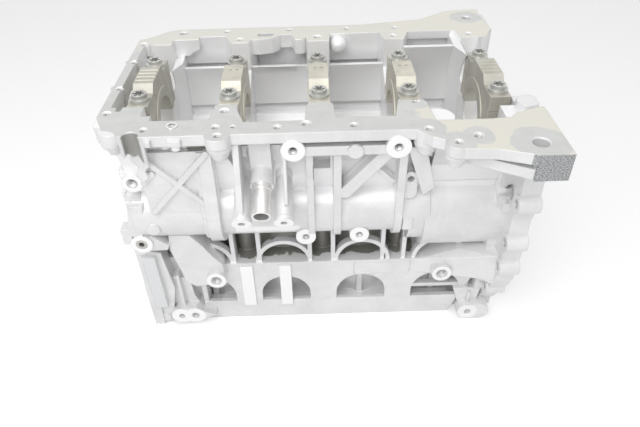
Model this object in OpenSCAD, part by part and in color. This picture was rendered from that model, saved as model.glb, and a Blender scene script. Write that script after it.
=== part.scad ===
// Bare cylinder block of an inline four, standing on its head face with the crankcase open at
// the top. X runs along the crank with the gearbox end at +X, the photographed side is at -Y,
// and the origin is the centre of the head face.

/* [Cylinders] */
// Distance from one cylinder axis to the next
bore_pitch = 91; // [89:0.5:93]
// Cylinder bore
bore_d = 82; // [78:0.5:84]
// Wall of a cast-in iron liner
liner_wall = 2.5; // [2:0.25:3]
// Aluminium barrel wall round a liner
barrel_wall = 15; // [13:0.5:17]
// Gap between the top of a liner and the circle that the crank sweeps
liner_gap = 2; // [1:0.5:4]

/* [Crank line] */
// Height of the crank axis above the head face
crank_h = 235; // [230:1:240]
// Radius that the crank and rods sweep
swing_r = 88; // [85:1:90]
// Main bearing bore
main_bore_d = 59; // [55:0.5:62]
// Width of a main bearing web along the crank
web_w = 22; // [20:1:24]

/* [Main caps] */
// Width of a cap along the crank
cap_w = 21; // [18:0.5:22]
// Cap length across the crank
cap_span = 108; // [106:1:112]
// Distance between the two bolts of a cap
cap_bolt_span = 80.4; // [79:0.2:82]
// Height of a cap's ears above the crank axis
ear_rise = 49; // [46:1:51]
// Height of a cap's crown above the crank axis
crown_rise = 57; // [55:1:60]
// Half width of the flat crown
crown_half = 19; // [16:1:21]
// Radius of the raised thrust face round the bore
thrust_r = 40; // [37:1:42]
// Height of the thrust face above a cap's side
thrust_rise = 1.2; // [0.5:0.1:2]

/* [Cap bolts] */
// Shank diameter
bolt_d = 11; // [10:0.5:12]
// Diameter of the flange under the head
bolt_flange_d = 20.5; // [19:0.5:21]
// Thickness of the flange
bolt_flange_t = 3; // [2:0.5:4]
// Diameter of the head
bolt_head_d = 15.5; // [14:0.5:17]
// Height of the head above its flange
bolt_head_h = 4.5; // [4:0.5:7]
// How far a bolt reaches below the crank axis
bolt_reach = 48; // [40:1:55]
// Radial clearance of a bolt in its cap
bolt_clearance = 0.5; // [0.3:0.1:0.8]
// Outer diameter of a locating sleeve
sleeve_d = 15; // [14:0.5:16]
// Length of a locating sleeve
sleeve_l = 12; // [8:1:16]

/* [Shell] */
// Thickness of the head deck
deck_t = 14; // [12:1:16]
// Half width of the deck and of the lower frame
frame_y = 86; // [84:1:88]
// Thickness of the lower frame's wall
frame_t = 6; // [5:0.5:8]
// Height of the shelf that closes the lower frame
shelf_h = 93; // [90:1:96]
// Sill below the frame's arches
sill_h = 29; // [26:1:32]
// Width of an arch in the lower frame
arch_w = 59; // [56:1:62]
// Wall of the crankcase round the swept circle
case_wall = 5; // [4:0.5:6]
// Overhang of the block past the first main bearing
left_overhang = 30; // [29:1:32]
// Overhang of the block past the last main bearing
right_overhang = 31; // [30:1:33]

/* [Pan rail] */
// Height of the pan rail above the crank axis
rail_rise = 55; // [53:1:57]
// Thickness of the rail
rail_t = 11; // [9:0.5:13]
// Distance from the crank axis to the front edge
rail_front = 121.5; // [120:0.5:123]
// Distance from the crank axis to the back edge
rail_back = 129; // [127:0.5:131]
// Distance from the crank axis to the mouth's front edge
mouth_front = 96; // [94:1:98]
// Distance from the crank axis to the mouth's back edge
mouth_back = 105; // [104:1:107]
// Depth of the pan bolt holes
pan_hole_l = 24; // [18:1:30]

/* [Balance shaft housings] */
// Distance of a housing's axis from the crank axis
housing_y = 75; // [73:1:77]
// Height of a housing's axis
housing_h = 173; // [170:1:176]
// Outer radius of a housing
housing_r = 32; // [30:1:34]
// Outer radius of the drum at the gearbox end
drum_r = 49; // [46:1:51]
// Height of the drum's axis
drum_h = 160; // [158:1:163]
// Distance of the drum's axis from the crank axis
drum_y = 60; // [58:1:62]

/* [Drain tube] */
// Outer radius of the tube
tube_r = 8.6; // [8:0.1:9.5]
// Wall of the tube
tube_wall = 1.2; // [1:0.1:1.6]
// Free length of the tube
tube_l = 45; // [40:1:50]
// Length of the tube inside its boss
tube_seat_l = 14; // [10:1:18]
// Fall of the tube and of the two posts beside it, in degrees
tube_fall = 23; // [20:1:26]

/* [Hidden] */
$fn = 48;
eps = 0.1;

rail_h = crank_h + rail_rise;
bore_r = bore_d / 2;
liner_r = bore_r + liner_wall;
barrel_r = liner_r + barrel_wall;
liner_l = crank_h - swing_r - liner_gap;
skirt_relief = 20;
bay_rim = 10;
case_r = swing_r + case_wall;
head_bolt_y = barrel_r - 9;
arch_rise = 41;
shelf_arch_r = 33;
seal_r = 38;
plug_r = 6.4;
plug_l = 14;
core_plug_r = 17;
core_plug_l = 9;
core_plug_z = 58;
head_bolt_l = 70;
lug_y = -rail_front + 1;
tube_x = -58.5;
tube_collar_l = 12;
tube_root_y = 108.6;
tube_root_z = crank_h - 1.4;
lug_x = -2 * bore_pitch + 9;
left_x = -2 * bore_pitch - left_overhang;
right_x = 2 * bore_pitch + right_overhang;
bay_x = (bore_pitch - web_w) / 2;
ear_y = cap_span / 2;
bolt_y = cap_bolt_span / 2;
cast = "gainsboro";

function cap_x(i) = (i - 3) * bore_pitch;
function cyl_x(i) = (i - 2.5) * bore_pitch;

// Profiles are drawn as (Y, Z) and swept along X, or drawn as (X, Z) and swept along Y.
module along_x(x0, x1) {
    translate([x0, 0, 0]) rotate([90, 0, 90]) linear_extrude(x1 - x0) children();
}
module along_y(y0, y1) {
    translate([0, y1, 0]) rotate([90, 0, 0]) linear_extrude(y1 - y0) children();
}
module rod_x(x0, x1, y, z, r) {
    translate([x0, y, z]) rotate([0, 90, 0]) cylinder(r = r, h = x1 - x0);
}
module rod_y(y0, y1, x, z, r) {
    translate([x, y1, z]) rotate([90, 0, 0]) cylinder(r = r, h = y1 - y0);
}
// Bar with round ends from p to q
module bar_2d(p, q, r) {
    d = q - p;
    flat = 0.97 * r;
    translate(p) circle(r);
    translate(q) circle(r);
    translate(p) rotate(atan2(d[1], d[0])) translate([0, -flat]) square([norm(d), 2 * flat]);
}
module round_box_2d(x0, y0, x1, y1, r) {
    translate([x0 + r, y0]) square([x1 - x0 - 2 * r, y1 - y0]);
    translate([x0, y0 + r]) square([x1 - x0, y1 - y0 - 2 * r]);
    for (x = [x0 + r, x1 - r], y = [y0 + r, y1 - r]) translate([x, y]) circle(r);
}

// Lower frame: head deck, barrels, and the arched wall in front of them

module head_bolt_columns() {
    for (i = [1:5], s = [-1, 1])
        translate([cap_x(i), s * head_bolt_y, 0]) cylinder(r = 13, h = crank_h - 60);
}
module barrels() {
    for (i = [1:4]) translate([cyl_x(i), 0, 0]) cylinder(r = barrel_r, h = crank_h - 60);
    translate([cap_x(1) - 8, -38, 0]) cube([4 * bore_pitch + 16, 76, crank_h - 60]);
    for (i = [1:4], s = [-1, 1])
        translate([cyl_x(i) - 3.5, s < 0 ? -barrel_r - 7 : barrel_r - 5, deck_t - eps])
            cube([7, 12, shelf_h - deck_t]);
}
module arch_2d(x) {
    spring = sill_h + arch_rise - arch_w / 2;
    translate([x, spring]) intersection() {
        circle(d = arch_w);
        translate([-arch_w, 0]) square(2 * arch_w);
    }
    translate([x - arch_w / 2, sill_h]) square([arch_w, spring - sill_h + eps]);
}
module lower_frame() {
    translate([left_x, -frame_y + 10, 0]) cube([right_x - left_x, 2 * frame_y - 10, deck_t]);
    // Front wall with its four arches, between the two feet
    along_y(-frame_y, -frame_y + frame_t) difference() {
        polygon([
            [cap_x(1) + 34, 0], [cap_x(1) + 34, shelf_h], [cap_x(5) + 10, shelf_h],
            [cap_x(5) - 14, sill_h], [cap_x(5) - 25, 0]
        ]);
        for (i = [1:4]) arch_2d(cyl_x(i));
    }
    // Bar across the last arch
    translate([cyl_x(4) - arch_w / 2 - 2, -frame_y + 1, sill_h + 16]) cube([arch_w + 4, 8, 5]);
    translate([cap_x(1) + 34, -frame_y, 0]) cube([4 * bore_pitch - 59, 20, sill_h - 8]);
    // Back wall
    along_y(frame_y - frame_t, frame_y)
        translate([left_x, 0]) square([right_x - left_x, shelf_h]);
    // Set-back wall beside the left foot
    translate([left_x, -frame_y + 14, 0]) cube([60, 8, shelf_h]);
    // Shelf and the webs below it
    translate([cap_x(1) + 20, -frame_y, shelf_h - 5])
        cube([4 * bore_pitch - 10, frame_y - barrel_r + 9, 5]);
    translate([left_x, barrel_r - 9, shelf_h - 5]) cube([right_x - left_x, frame_y - barrel_r + 9, 5]);
    for (x = [cap_x(1) + 37, cap_x(2), cap_x(3), cap_x(4), cap_x(5) - 8])
        translate([x - 3, -frame_y + 1, 1]) cube([6, frame_y - barrel_r + 19, shelf_h - 2]);
    for (i = [1:5]) translate([cap_x(i) - 3, barrel_r - 20, 1])
        cube([6, frame_y - barrel_r + 19, shelf_h - 2]);
}
// Arched ribs that stand on the shelf over each cylinder
module shelf_arches() {
    along_y(-frame_y + 2, -frame_y + 11) for (i = [1:4]) translate([cyl_x(i), shelf_h - 1])
        intersection() {
            difference() {
                circle(shelf_arch_r);
                circle(shelf_arch_r - 5);
            }
            translate([-50, 0]) square(100);
        }
    for (k = [-1.14, -0.81, -0.165, 0.13, 0.76, 1.03])
        translate([k * bore_pitch - 2.5, -frame_y + 2, shelf_h - 3]) cube([5, 20, 58]);
}

// Crankcase

module case_2d() {
    intersection() {
        translate([0, crank_h]) circle(case_r);
        translate([-200, 0]) square([400, rail_h - rail_t + 1]);
    }
    polygon([
        [-mouth_front - 6, rail_h - rail_t + 1], [-mouth_front - 6, rail_h - 25],
        [-case_r - 1, crank_h + 8], [-case_r + 12, crank_h - 45],
        [mouth_back, crank_h - 45], [mouth_back + 13, crank_h - 30],
        [mouth_back + 13, rail_h - rail_t + 1]
    ]);
}
module crankcase() {
    along_x(left_x + 2, right_x - 22) case_2d();
    // Front wall of the last bay, which stands further out
    along_x(cap_x(4) + 18, right_x - 22) polygon([
        [-mouth_front - 16, rail_h - 1], [-mouth_front - 16, rail_h - 25], [-case_r + 2, crank_h - 26], [-80, crank_h]
    ]);
    // Housings of the balance shafts
    rod_x(left_x + 14, cap_x(4) + 22, -housing_y, housing_h, housing_r);
    rod_x(left_x + 8, right_x - 10, housing_y, housing_h, housing_r);
    // Drum at the gearbox end, with the smaller ring in front of it
    rod_x(cap_x(4) + 17, right_x - 17, -drum_y, drum_h, drum_r);
    rod_x(cap_x(4) + 1, cap_x(4) + 18, -drum_y - 4, drum_h + 4, drum_r - 7);
    along_x(cap_x(4) + 17, right_x - 17) polygon([
        [-drum_y - 28, drum_h + 39], [-drum_y - 34, crank_h + 5], [-80, crank_h + 5], [-80, drum_h]
    ]);
}
// Free space of the bay between two main bearings, with the oil return behind its back wall
module bay_2d(shield_h, wall_h, front) {
    difference() {
        union() {
            translate([0, crank_h]) circle(swing_r);
            polygon([
                [-front, rail_h + 1], [-front, rail_h - 25], [-swing_r + 3, crank_h + 8],
                [0, crank_h], [40, crank_h - 28], [mouth_back + 7, crank_h - 28], [mouth_back + 9, wall_h],
                [mouth_back + 2, wall_h], [mouth_back, rail_h + 1]
            ]);
            translate([swing_r - 28, crank_h - 38]) square([28, 14]);
        }
        // Shield in front of the oil return
        intersection() {
            difference() {
                translate([0, crank_h]) circle(case_r);
                translate([0, crank_h]) circle(swing_r);
            }
            translate([swing_r / 2, crank_h - 26]) square([case_r, shield_h - crank_h + 26]);
        }
    }
}
// The outer bays end at a rim, with a cone from the rim to the web of the end bearing
module bay(i, shield_h, wall_h, front) {
    x0 = cyl_x(i) - bay_x + (i == 1 ? bay_rim : 0);
    x1 = cyl_x(i) + bay_x - (i == 4 ? bay_rim : 0);
    along_x(x0, x1) bay_2d(shield_h, wall_h, front);
    if (i == 1) rim_cut(x0 - bay_rim, x0 + 0.5, swing_r - 23, swing_r - 1, front, shield_h + 9, shield_h + 9);
    if (i == 4) rim_cut(x1 - 0.5, x1 + bay_rim, swing_r - 1, swing_r - 23, front, shield_h + 1, crank_h + 9);
}
module rim_cut(x0, x1, r0, r1, front, top, front_top) {
    translate([x0, 0, crank_h]) rotate([0, 90, 0]) cylinder(r1 = r0, r2 = r1, h = x1 - x0);
    translate([x0, -12, top]) cube([x1 - x0, 12 + mouth_back - 0.7, rail_h - top + 1]);
    translate([x0, 9.5 - front, front_top]) cube([x1 - x0, front, rail_h - front_top + 1]);
}
// Material that hangs under the back rail inside the bays
module bay_bosses() {
    // Bosses in the second bay's back corners
    translate([0, 0, rail_h - 19]) linear_extrude(19) polygon([
        [cap_x(2) + 8, mouth_back + 7], [cap_x(2) + 8, 93], [cap_x(2) + 22, 92], [cap_x(2) + 38, 96],
        [cap_x(2) + 46, 104], [cap_x(2) + 48, mouth_back + 7]
    ]);
    translate([0, 0, rail_h - 18]) linear_extrude(18) polygon([
        [cap_x(3) - 31, mouth_back + 7], [cap_x(3) - 29, 102], [cap_x(3) - 26, 90], [cap_x(3) - 18, 89],
        [cap_x(3) - 10, 97], [cap_x(3) - 10, mouth_back + 7]
    ]);
    // Corner boss in the first bay
    along_y(97, mouth_back + 7) translate([cap_x(1), rail_h]) polygon([
        [6, 0], [6, -28], [12, -24], [15, -26], [22, -20], [27, -21], [32, -16], [38, -14.5], [41, -12], [41, 0]
    ]);
}
module round_boss() {
    // Round boss in the third bay
    translate([cap_x(3) + 26, mouth_back - 5.5, rail_h - 11.5]) sphere(r = 10.3);
}
// Columns of the main bearing webs, seen from above
module back_columns() {
    for (c = [[2, -19, -10, 10, 7], [3, -13, -12, 15, 1], [4, -15, -11, 12, 7], [5, -14, -10, 11, 1]])
        translate([cap_x(c[0]), 0, crank_h + 12]) linear_extrude(rail_rise - 12) polygon([
            [c[1], mouth_back + 6], [c[1], mouth_back - 1], [c[2], swing_r - 3], [c[3], swing_r - 5],
            [c[3] + c[4], mouth_back - 1], [c[3] + c[4], mouth_back + 6]
        ]);
}
module front_columns() {
    for (c = [
        [1, [[-2.5, -74], [9, -79], [17, -93], [18, -100.7], [-2.5, -100.7]]],
        [2, [[-14.5, -100.7], [-14, -93], [-12, -77], [-6, -66], [9, -70], [18.5, -98], [19, -100.7]]],
        [3, [[-15, -101.2], [-12.4, -69], [12.6, -69], [15.4, -101.2]]],
        [4, [[-21, -100.7], [-20, -93], [-14, -64], [8, -63], [13, -71], [14, -88], [16, -107.3],
            [10.4, -107.3], [10.4, -100.7]]],
        [5, [[-14.5, -107.6], [-8, -104.5], [10, -97], [10.5, -107.6]]]
    ]) translate([cap_x(c[0]), 0, crank_h + 16]) linear_extrude(rail_rise - 16) polygon(c[1]);
}
// Low lug in front of the last bay
module front_lug() {
    translate([cap_x(4) + 22.5, -87, rail_h - 35]) cylinder(r1 = 4, r2 = 15.5, h = 28);
    translate([cap_x(4) + 9, -107, rail_h - 35]) cube([26, 19, 28]);
}
// Ground between the last web and the rail's inner edge, lower than the rail
module corner_relief() {
    along_x(cap_x(5) - web_w / 2 - 0.5, cap_x(5) - 4) polygon([
        [-60, rail_h + 1], [-60, crank_h + 24], [-74, crank_h + 27], [-95, rail_h - 24], [-98, rail_h + 1]
    ]);
    translate([cap_x(5) + 22, -68, rail_h - 3]) cylinder(r = 13.5, h = 4);
    translate([0, 0, rail_h - 9]) linear_extrude(10) difference() {
        polygon([
            [cap_x(5) - 21.5, -46], [cap_x(5) - 21.5, -105.2], [cap_x(5) - 6, -104.6], [cap_x(5) + 1, -98],
            [cap_x(5) + 14, -91.5], [cap_x(5) + 24, -87], [right_x + 1, -86], [right_x + 1, -46]
        ]);
        translate([cap_x(5) + 22, -68]) circle(11.5);
    }
}
module main_web_relief() {
    for (i = [1:5]) along_x(cap_x(i) - web_w / 2 - (i == 1 ? 10 : 0.5), cap_x(i) + web_w / 2 + (i == 5 ? 1 : 0.5))
        polygon([
            [-ear_y - 12, rail_h + 1], [-ear_y - 12, crank_h + 22], [-ear_y - 3, crank_h + 10],
            [-ear_y - 0.3, crank_h], [ear_y + 0.3, crank_h], [ear_y + 3, crank_h + 10],
            [swing_r - 4, crank_h + 20], [swing_r - 4, rail_h + 1]
        ]);
}

// Pan rail

function rail_outline() = [
    [left_x, -frame_y + 1], [left_x + 11, -frame_y - 23], [left_x + 22, -rail_front + 9],
    [left_x + 30, -rail_front - 1],
    [cap_x(4) - 4, -rail_front], [cap_x(4) + 8, -rail_front - 14], [cap_x(4) + 20, -rail_front - 20],
    [cap_x(4) + 33, -rail_front - 34], [cap_x(5) - 30, -rail_front - 36],
    [cap_x(5) - 4, -rail_front - 45], [cap_x(5), -rail_front - 47.5],
    [right_x, -rail_front - 47.5], [right_x, 99], [right_x - 1, 118], [right_x - 4, 141], [right_x - 3, 173],
    [cap_x(5), 173], [cap_x(5) - 18, 167], [cap_x(5) - 36, 154], [cap_x(5) - 52, 143],
    [cap_x(3) + 55, rail_back + 2], [cap_x(1) + 14, rail_back], [cap_x(1), rail_back - 5],
    [left_x + 18, rail_back - 18], [left_x, 99]
];
// Main cap number, offset along X, Y and hole radius
pan_holes = [
    [1, 19.5, -109.4, 3.4], [2, -6.1, -107.3, 3.4], [2, -3, -122.2, 3.4], [2, -1, -77.3, 4],
    [2, 10.1, -107.7, 1.8], [3, -40.1, -110.6, 3.4], [3, -13.6, -105.3, 4.2],
    [3, 30.2, -110.1, 3.4], [4, 1.9, -68.6, 3.4], [4, 6.6, -120.1, 3.4], [4, 28.5, -143.6, 3.4],
    [4, 48.2, -134, 4.2], [5, 8.1, -148.4, 7.5], [1, 19.9, 118.6, 5], [2, -18.4, 120.2, 3.4],
    [2, -0.6, 95, 3.4], [3, -33, 120.6, 3.4], [3, 0.7, 97, 4.5], [3, 37.1, 120.4, 3.4],
    [4, 5.2, 119.9, 3.4], [4, 0.6, 95, 3.4], [5, 8.6, 146, 6], [5, 0.2, 95, 3.4],
    [1, -22.6, -76.8, 3.4], [1, -22.6, -25.1, 3.4], [1, -22.6, 38.2, 3.4], [1, -22.6, 88, 3.4]
];
module pan_rail() {
    translate([0, 0, rail_h - rail_t]) linear_extrude(rail_t) {
        polygon(rail_outline());
        for (y = [-25, 38]) translate([left_x + 7, y]) circle(9);
        translate([cap_x(2) - 3, -rail_front + 1]) circle(12);
        translate([cap_x(4) + 28.5, -rail_front - 23]) circle(11);
    }
    // Bosses under the rail: main cap, offset, Y, radius, length
    for (h = [
        [2, -3, -rail_front + 3, 12, 26], [4, 28.5, -rail_front - 22, 11, 24], [4, 6, -rail_front + 5, 12, 27],
        [1, -20, -frame_y - 10, 10, 17], [1, 7, -106, 9, 23], [1, 36, -108, 8, 20], [1, -12, -107, 11, 24]
    ]) translate([cap_x(h[0]) + h[1], h[2], rail_h - h[4]]) {
        cylinder(r1 = h[3] * 0.6, r2 = h[3], h = h[4] * 0.4);
        translate([0, 0, h[4] * 0.4 - eps]) cylinder(r = h[3], h = h[4] * 0.6 - 1);
    }
    translate([cap_x(5) + 8, rail_back + 17, rail_h - 38]) cylinder(r = 17, h = 37);
    // Slope from the rail down to the wall behind it, along the back
    along_x(cap_x(1), right_x - 30) polygon([
        [mouth_back + 6, rail_h - rail_t + 1], [rail_back - 3, rail_h - rail_t + 1], [mouth_back + 6, rail_h - 34]
    ]);
}
module mouth() {
    translate([0, 0, crank_h - 60]) linear_extrude(rail_rise + 61)
        round_box_2d(left_x + 14, -frame_y + 12, cap_x(1) - web_w / 2 + 1, frame_y, 2.4);
    translate([left_x + 9, -frame_y + 14, crank_h - 60]) cube([8, 2 * frame_y - 14, rail_rise + 46]);
    // Seal bore in the end wall
    rod_x(left_x - 1, cap_x(1) - web_w / 2, 0, crank_h, seal_r);
}

// Gearbox end

// Bolt bosses of the gearbox flange (Y, Z)
gearbox_bolts = [
    [-129, 206], [-125, 151], [-122, 113], [-100, 60], [127, 206], [122, 150], [115, 100], [100, 60]
];

module gearbox_end() {
    // Flange of the gearbox
    along_x(right_x - 20, right_x) polygon([
        [-66, 0], [-84, 22], [-97, 45], [-113, 72], [-121, 90], [-124, 124], [-126, 146], [-124, 180],
        [-127, 190], [-130, 212], [-129, 236], [-rail_front - 10, rail_h - 26], [-rail_front - 10, rail_h - 1],
        [rail_back + 28, rail_h - 1], [rail_back + 28, rail_h - 30], [rail_back + 9, 242], [126, 224],
        [119, 170], [119, 90], [111, 70], [94, 43], [70, 0]
    ]);
    along_x(right_x - 31, right_x - 19) polygon([
        [-60, 0], [-80, 26], [-94, 50], [-100, 90], [-104, 180], [-106, 240], [-112, rail_h - 1],
        [rail_back, rail_h - 1], [112, 240], [104, 180], [100, 90], [80, 26], [60, 0]
    ]);
    for (p = gearbox_bolts) rod_x(right_x - 22, right_x, p[0], p[1], 10);
}
module chain_chest() difference() {
    along_x(cap_x(5) + web_w / 2, right_x + 1) polygon([
        [-frame_y + 8, deck_t], [-frame_y + 8, crank_h + 10], [-48, crank_h + 30], [-48, rail_h + 1],
        [113, rail_h + 1], [108, 242], [92, 200], [90, deck_t]
    ]);
    // Round boss at the front and rounded end of the back rail, which both stay
    translate([cap_x(5) + 22, -68, rail_h - 50]) cylinder(r = 11.5, h = 46);
    translate([cap_x(5), 0, 236]) linear_extrude(rail_h - 234) polygon([
        [8, 120], [8, 87], [14, 82.7], [21, 87], [27, 102], [33, 108], [33, 120]
    ]);
}
// Arm that carries the large bolt at the front corner
module corner_arm() {
    y_face = -rail_front - 47.5;
    translate([right_x - 30, y_face, rail_h - 27]) cube([30, 41, 26]);
    // Gusset under the rail, open behind its edge
    translate([0, 0, rail_h - 28]) linear_extrude(10.5) polygon([
        [cap_x(4) + 24, -100], [cap_x(4) + 29, -rail_front + 3], [cap_x(4) + 44, -rail_front - 17],
        [right_x - 29, y_face + 3], [right_x - 29, -100]
    ]);
    translate([0, 0, rail_h - 35]) linear_extrude(10) polygon([
        [cap_x(4) + 24, -100], [cap_x(4) + 36, -rail_front + 6], [right_x - 29, -rail_front - 18],
        [right_x - 29, -100]
    ]);
}

// Front side

module front_bosses() {
    for (b = [
        [-0.29, crank_h + 36, 11.5, rail_front + 1.5, 30], [0.785, crank_h + 37, 12, rail_front + 1.5, 30],
        [0.35, crank_h + 32, 7.5, rail_front, 25],
        [-0.2, housing_h - 24, 10.8, housing_y + 30, 30], [0.435, housing_h - 23, 10.5, housing_y + 30, 30],
        [-1.36, shelf_h - 9, 11.4, frame_y + 18, 25], [1.5, shelf_h - 7, 11.3, frame_y + 19, 25],
        [-1.96, housing_h - 5, 7, housing_y + 34, 20]
    ]) rod_y(-b[3], -b[3] + b[4], b[0] * bore_pitch, b[1], b[2]);
}
module housing_rib(x, half, lift, top) {
    along_x(x - half, x + half) difference() {
        union() {
            translate([-housing_y, housing_h]) circle(housing_r + lift);
            polygon(top);
        }
        translate([-62, 100]) square([62, 200]);
    }
}
module vertical_ribs() {
    y_bar = rail_front - 3;
    z_bar = crank_h + 32;
    // Upper bar between its two bosses
    translate([-0.29 * bore_pitch, -y_bar, z_bar - 5]) cube([1.07 * bore_pitch, 14, 10]);
    for (r = [[-0.126, 3.5], [0.17, 4], [0.87, 4]]) housing_rib(r[0] * bore_pitch, r[1], 4, [
        [-y_bar + 3, z_bar], [-y_bar + 6, z_bar - 8], [-housing_y - housing_r - 3, housing_h + 10],
        [-housing_y, housing_h], [-83, z_bar]
    ]);
}
// Wide band at the right edge of the left panel
module band() {
    for (r = [[-1.31, 5, 4], [-1.24, 7, 7]]) housing_rib(r[0] * bore_pitch, r[1], r[2], [
        [-mouth_front - r[2] - 4, crank_h + 26.5], [-mouth_front - r[2] - 3, crank_h],
        [-housing_y - housing_r - r[2] + 1, housing_h + 10], [-housing_y, housing_h], [-83, crank_h + 26.5]
    ]);
}
// Panel at the left with crossed ribs
module left_panel() {
    along_x(left_x + 34, -1.24 * bore_pitch) polygon([
        [-83, crank_h + 27], [-mouth_front - 9, crank_h + 27], [-mouth_front - 9, crank_h - 18],
        [-housing_y - housing_r + 3, housing_h + 14], [-housing_y, housing_h]
    ]);
    for (r = [[[-1.87, 256], [-1.26, 195]], [[-1.21, 261], [-1.89, 192]]])
        along_y(-mouth_front - 13, -84)
            bar_2d([r[0][0] * bore_pitch, r[0][1]], [r[1][0] * bore_pitch, r[1][1]], 3);
    along_y(-mouth_front - 11, -84)
        bar_2d([left_x + 36, crank_h - 8], [left_x + 46, crank_h + 3], 3);
}
module diagonal_ribs() {
    along_y(-mouth_front - 15, -85) bar_2d([0.68 * bore_pitch, 256], [0.26 * bore_pitch, 212], 6.5);
    along_y(-mouth_front - 9, -85) bar_2d([0.56 * bore_pitch, 240], [0.78 * bore_pitch, 220], 2.5);
    along_y(-mouth_front - 15, -85) polygon([
        [0.9 * bore_pitch, 264], [1.1 * bore_pitch, 264], [1.24 * bore_pitch, 216], [1.12 * bore_pitch, 206]
    ]);
    along_y(-mouth_front - 10, -85) bar_2d([0.98 * bore_pitch, 224], [0.98 * bore_pitch, 206], 7.5);
    // Square nub on the ring
    translate([0.93 * bore_pitch, -drum_y - drum_r + 1, housing_h - 15]) cube([11, 30, 15]);
    // Round boss near the gearbox flange
    rod_y(-drum_y - drum_r - 1, -80, right_x - 21, housing_h + 12, 6);
}
// Boss of the drain tube with the two posts beside it
module tube_frame() {
    translate([tube_x, -tube_root_y, tube_root_z]) rotate([90 + tube_fall, 0, 0]) children();
}
module tube_station() {
    tube_frame() translate([0, 0, -tube_seat_l - 6]) cylinder(r = tube_r + 3.2, h = tube_seat_l + 6 + tube_collar_l);
    tube_frame() translate([0, 0, -tube_seat_l - 20]) cylinder(r1 = 14, r2 = tube_r + 3.4, h = 24);
    translate([tube_x - 10.5, -rail_front + 13, crank_h - 2]) cube([21, 30, rail_rise - 10]);
    for (x = [tube_x - 20.5, tube_x + 20.5]) translate([x - tube_x, 0, 0]) tube_frame() translate([0, -14.5, 0]) {
        translate([0, 0, -20]) cylinder(r = 8.5, h = tube_l + 16);
        translate([0, 0, tube_l - 5]) cylinder(r = 10, h = 5);
    }
    along_x(tube_x - 24, tube_x - 18) polygon([
        [-90, rail_h - rail_t + 1], [-rail_front + 4, rail_h - rail_t + 1],
        [-tube_root_y - 33, crank_h - 22], [-90, crank_h - 25]
    ]);
    along_x(tube_x + 22, tube_x + 25) polygon([
        [-90, crank_h + 30], [-rail_front + 4, crank_h + 30],
        [-tube_root_y - 26, crank_h - 18], [-90, crank_h - 25]
    ]);
}
module left_end() {
    difference() {
        along_x(left_x, left_x + 12) polygon([
        [-frame_y - 8, 0], [-frame_y - 8, 62], [-frame_y - 2, 106], [-frame_y - 6, 118], [-frame_y + 8, 140],
        [-frame_y + 8, 262], [-frame_y - 4, 272], [-frame_y - 6, rail_h - 1],
        [104, rail_h - 1], [104, 200], [94, 172], [94, 0]
        ]);
        // Cut-back corner above the housing
        translate([0, 0, crank_h - 34]) linear_extrude(78)
            polygon([[left_x - 1, -24], [left_x - 1, -120], [left_x + 15, -120], [left_x + 15, -78.5]]);
    }
    // Machined strip, with the strut behind it
    translate([left_x + 7, -frame_y - 11, 33]) cube([15, 13, 83]);
    along_y(-frame_y - 5, -frame_y + 14) polygon([
        [left_x, 0], [left_x, 125], [left_x + 28, 118], [left_x + 34, 60], [left_x + 22, 0]
    ]);
    // Boss of the gallery plug, the stub beside it and the nub above it
    rod_y(-frame_y - 19, -frame_y + 8, left_x + 15.5, housing_h - 28.5, 12);
    along_y(-frame_y - 16, -frame_y + 8) polygon([
        [left_x + 6, housing_h - 36], [left_x + 14, housing_h - 41], [left_x + 41, housing_h - 40],
        [left_x + 44, housing_h - 34], [left_x + 26, housing_h - 19]
    ]);
    translate([left_x - 3, -frame_y - 18, housing_h - 28]) cube([10, 14, 20]);
    rod_y(-housing_y - 32, -housing_y, left_x + 33.5, housing_h - 5, 7.5);
    // Lug at the top of the end wall
    rod_y(-mouth_front - 1, -mouth_front + 26, left_x + 20.5, crank_h - 14.5, 10.6);
    along_y(-mouth_front + 4, -mouth_front + 26) polygon([
        [left_x + 18, crank_h - 22], [left_x + 33, crank_h - 18], [left_x + 43, crank_h + 4],
        [left_x + 36, crank_h + 6], [left_x + 17, crank_h + 1]
    ]);
    // Rim of the housing's end
    along_y(-housing_y - 29, -housing_y) polygon([
        [left_x + 3, housing_h - 18], [left_x + 12, housing_h + 23], [left_x + 27, housing_h + 23],
        [left_x + 19, housing_h - 18]
    ]);
    // Wide web down to the boss on the frame
    along_y(-frame_y - 12, -frame_y + 26) polygon([
        [cap_x(1) + 14, 150], [cap_x(1) + 12, 129], [cap_x(1) + 19, 95], [cap_x(1) + 22, 79],
        [cap_x(1) + 32, 70], [cap_x(1) + 52, 72], [cap_x(1) + 68, 84], [cap_x(1) + 67, 104],
        [cap_x(1) + 57, 118], [cap_x(1) + 48, 134], [cap_x(1) + 36, 150]
    ]);
}
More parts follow.
